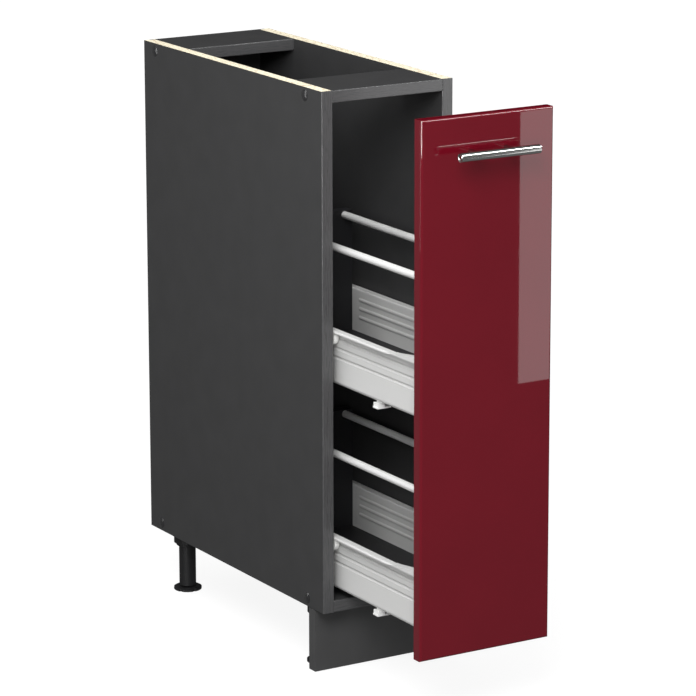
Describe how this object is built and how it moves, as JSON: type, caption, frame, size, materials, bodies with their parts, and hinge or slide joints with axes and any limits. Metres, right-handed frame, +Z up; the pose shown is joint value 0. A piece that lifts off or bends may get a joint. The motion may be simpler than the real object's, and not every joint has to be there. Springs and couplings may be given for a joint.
{
  "type": "pull-out pantry base cabinet",
  "caption": "Narrow base cabinet on adjustable legs with an open top; a glossy front slides out with two steel-sided drawers under railing rods.",
  "frame": {"origin": "on the floor, in the middle of the width and of the depth from the handle bar to the back panel, with the pull-out standing open as pictured", "axes": "+X to the right seen from the front, +Y to the back, +Z up; the front panel faces -Y"},
  "size_m": [0.203, 0.756, 0.792],
  "materials": {
    "board_grey": "grey melamine on chipboard, fine texture",
    "edge_grey": "grey plastic edging, satin",
    "board_dark": "dark grey melamine, satin",
    "cap_grey": "dark grey plastic, satin",
    "leg_black": "black plastic, slightly glossy",
    "drawer_white": "light grey powder coating, satin",
    "rod_white": "light grey coating, semi-gloss",
    "roller_white": "white plastic, smooth",
    "clip_white": "white plastic, smooth",
    "door_red": "dark red high-gloss lacquer",
    "handle_steel": "brushed along the bar, semi-gloss",
    "buffer_clear": "clear soft dots",
    "zinc_steel": "zinc plated"
  },
  "bodies": {
    "carcass": {"side_left": "board_grey", "side_right": "board_grey", "bottom_panel": "board_grey", "front_top_rail": "board_grey", "rear_top_rail": "board_grey", "back_panel": "board_dark", "side_edge_strips": "edge_grey", "cross_edge_strips": "edge_grey", "carcass_screws": "zinc_steel", "cover_caps": "cap_grey", "leg_front_left": "leg_black", "leg_front_right": "leg_black", "leg_rear_left": "leg_black", "leg_rear_right": "leg_black", "plinth": "board_grey", "plinth_clips": "leg_black", "runner_upper_left": "drawer_white", "runner_upper_right": "drawer_white", "runner_lower_left": "drawer_white", "runner_lower_right": "drawer_white", "front_roller_pins": "zinc_steel", "cabinet_wood_screws": "zinc_steel"},
    "pull_out": {"door_panel": "door_red", "handle_bar": "handle_steel", "handle_posts": "handle_steel", "handle_screws": "zinc_steel", "door_buffers": "buffer_clear", "drawer_side_upper_left": "drawer_white", "drawer_side_upper_right": "drawer_white", "drawer_side_lower_left": "drawer_white", "drawer_side_lower_right": "drawer_white", "drawer_base_upper": "board_dark", "drawer_base_lower": "board_dark", "drawer_back_upper": "board_dark", "drawer_back_lower": "board_dark", "rod_upper_left": "rod_white", "rod_upper_right": "rod_white", "rod_lower_left": "rod_white", "rod_lower_right": "rod_white", "rod_pegs": "clip_white", "bottom_clips": "clip_white", "rear_roller_pins": "zinc_steel", "drawer_wood_screws": "zinc_steel", "rod_screws": "zinc_steel"},
    "front_roller_upper_left": {"front_roller_upper_left": "roller_white"},
    "front_roller_upper_right": {"front_roller_upper_right": "roller_white"},
    "front_roller_lower_left": {"front_roller_lower_left": "roller_white"},
    "front_roller_lower_right": {"front_roller_lower_right": "roller_white"},
    "rear_roller_upper_left": {"rear_roller_upper_left": "roller_white"},
    "rear_roller_upper_right": {"rear_roller_upper_right": "roller_white"},
    "rear_roller_lower_left": {"rear_roller_lower_left": "roller_white"},
    "rear_roller_lower_right": {"rear_roller_lower_right": "roller_white"},
    "foot_front_left": {"foot_front_left": "leg_black"},
    "foot_front_right": {"foot_front_right": "leg_black"},
    "foot_rear_left": {"foot_rear_left": "leg_black"},
    "foot_rear_right": {"foot_rear_right": "leg_black"}
  },
  "joints": [
    {"name": "pull_out_slide", "type": "slide", "parent": "carcass", "child": "pull_out", "axis": [0, -1, 0], "range_m": [-0.22, 0.125]},
    {"name": "front_roller_upper_left_spin", "type": "hinge", "parent": "carcass", "child": "front_roller_upper_left", "pos_m": [-0.0763, -0.094, 0.462], "axis": [1, 0, 0], "continuous": true},
    {"name": "front_roller_upper_right_spin", "type": "hinge", "parent": "carcass", "child": "front_roller_upper_right", "pos_m": [0.0763, -0.094, 0.462], "axis": [1, 0, 0], "continuous": true},
    {"name": "front_roller_lower_left_spin", "type": "hinge", "parent": "carcass", "child": "front_roller_lower_left", "pos_m": [-0.0763, -0.094, 0.1805], "axis": [1, 0, 0], "continuous": true},
    {"name": "front_roller_lower_right_spin", "type": "hinge", "parent": "carcass", "child": "front_roller_lower_right", "pos_m": [0.0763, -0.094, 0.1805], "axis": [1, 0, 0], "continuous": true},
    {"name": "rear_roller_upper_left_spin", "type": "hinge", "parent": "pull_out", "child": "rear_roller_upper_left", "pos_m": [-0.0763, 0.105, 0.4575], "axis": [1, 0, 0], "continuous": true},
    {"name": "rear_roller_upper_right_spin", "type": "hinge", "parent": "pull_out", "child": "rear_roller_upper_right", "pos_m": [0.0763, 0.105, 0.4575], "axis": [1, 0, 0], "continuous": true},
    {"name": "rear_roller_lower_left_spin", "type": "hinge", "parent": "pull_out", "child": "rear_roller_lower_left", "pos_m": [-0.0763, 0.105, 0.176], "axis": [1, 0, 0], "continuous": true},
    {"name": "rear_roller_lower_right_spin", "type": "hinge", "parent": "pull_out", "child": "rear_roller_lower_right", "pos_m": [0.0763, 0.105, 0.176], "axis": [1, 0, 0], "continuous": true},
    {"name": "foot_front_left_screw", "type": "slide", "parent": "carcass", "child": "foot_front_left", "axis": [0, 0, -1], "range_m": [0, 0.02]},
    {"name": "foot_front_right_screw", "type": "slide", "parent": "carcass", "child": "foot_front_right", "axis": [0, 0, -1], "range_m": [0, 0.02]},
    {"name": "foot_rear_left_screw", "type": "slide", "parent": "carcass", "child": "foot_rear_left", "axis": [0, 0, -1], "range_m": [0, 0.02]},
    {"name": "foot_rear_right_screw", "type": "slide", "parent": "carcass", "child": "foot_rear_right", "axis": [0, 0, -1], "range_m": [0, 0.02]}
  ],
  "couplings": [
    {"joint": "front_roller_upper_left_spin", "follows": "pull_out_slide", "rad_per_m": 105.26},
    {"joint": "front_roller_upper_right_spin", "follows": "pull_out_slide", "rad_per_m": 105.26},
    {"joint": "front_roller_lower_left_spin", "follows": "pull_out_slide", "rad_per_m": 105.26},
    {"joint": "front_roller_lower_right_spin", "follows": "pull_out_slide", "rad_per_m": 105.26},
    {"joint": "rear_roller_upper_left_spin", "follows": "pull_out_slide", "rad_per_m": 105.26},
    {"joint": "rear_roller_upper_right_spin", "follows": "pull_out_slide", "rad_per_m": 105.26},
    {"joint": "rear_roller_lower_left_spin", "follows": "pull_out_slide", "rad_per_m": 105.26},
    {"joint": "rear_roller_lower_right_spin", "follows": "pull_out_slide", "rad_per_m": 105.26}
  ]
}
